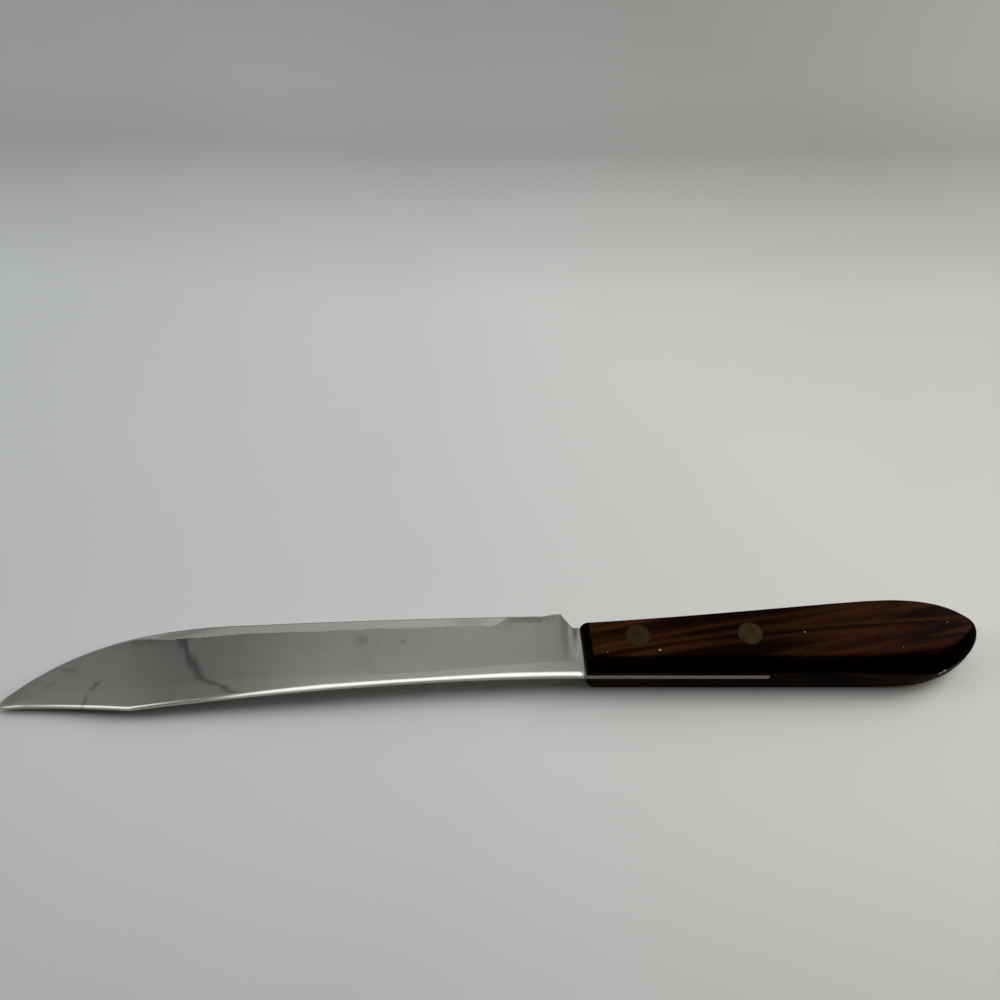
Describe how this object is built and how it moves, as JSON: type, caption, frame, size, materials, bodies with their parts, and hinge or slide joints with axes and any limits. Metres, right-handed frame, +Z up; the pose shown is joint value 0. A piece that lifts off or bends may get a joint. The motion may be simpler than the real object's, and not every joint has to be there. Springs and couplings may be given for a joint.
{
  "type": "kitchen knife",
  "caption": "Butcher pattern kitchen knife with an upswept polished steel blade, a half tang and a bevelled rosewood handle held by flush brass rivets.",
  "frame": {"origin": "middle of the knife's outline seen from above, at the level of the handle's lower side face", "axes": "the knife lies on its side: -X towards the tip, +X towards the butt, -Y towards the spine, +Y towards the cutting edge, +Z up, square to the blade's middle plane"},
  "size_m": [0.3212, 0.0378, 0.0175],
  "materials": {
    "steel": "polished stainless steel with light scratches",
    "rosewood": "oiled and varnished dark rosewood with streaks along the handle",
    "brass": "dull aged brass, ground flush"
  },
  "bodies": {
    "root": {"blade": "steel", "handle": "rosewood", "front_rivet_tube": "brass", "front_rivet_pin": "brass", "rear_rivet_tube": "brass", "rear_rivet_pin": "brass"}
  },
  "joints": []
}
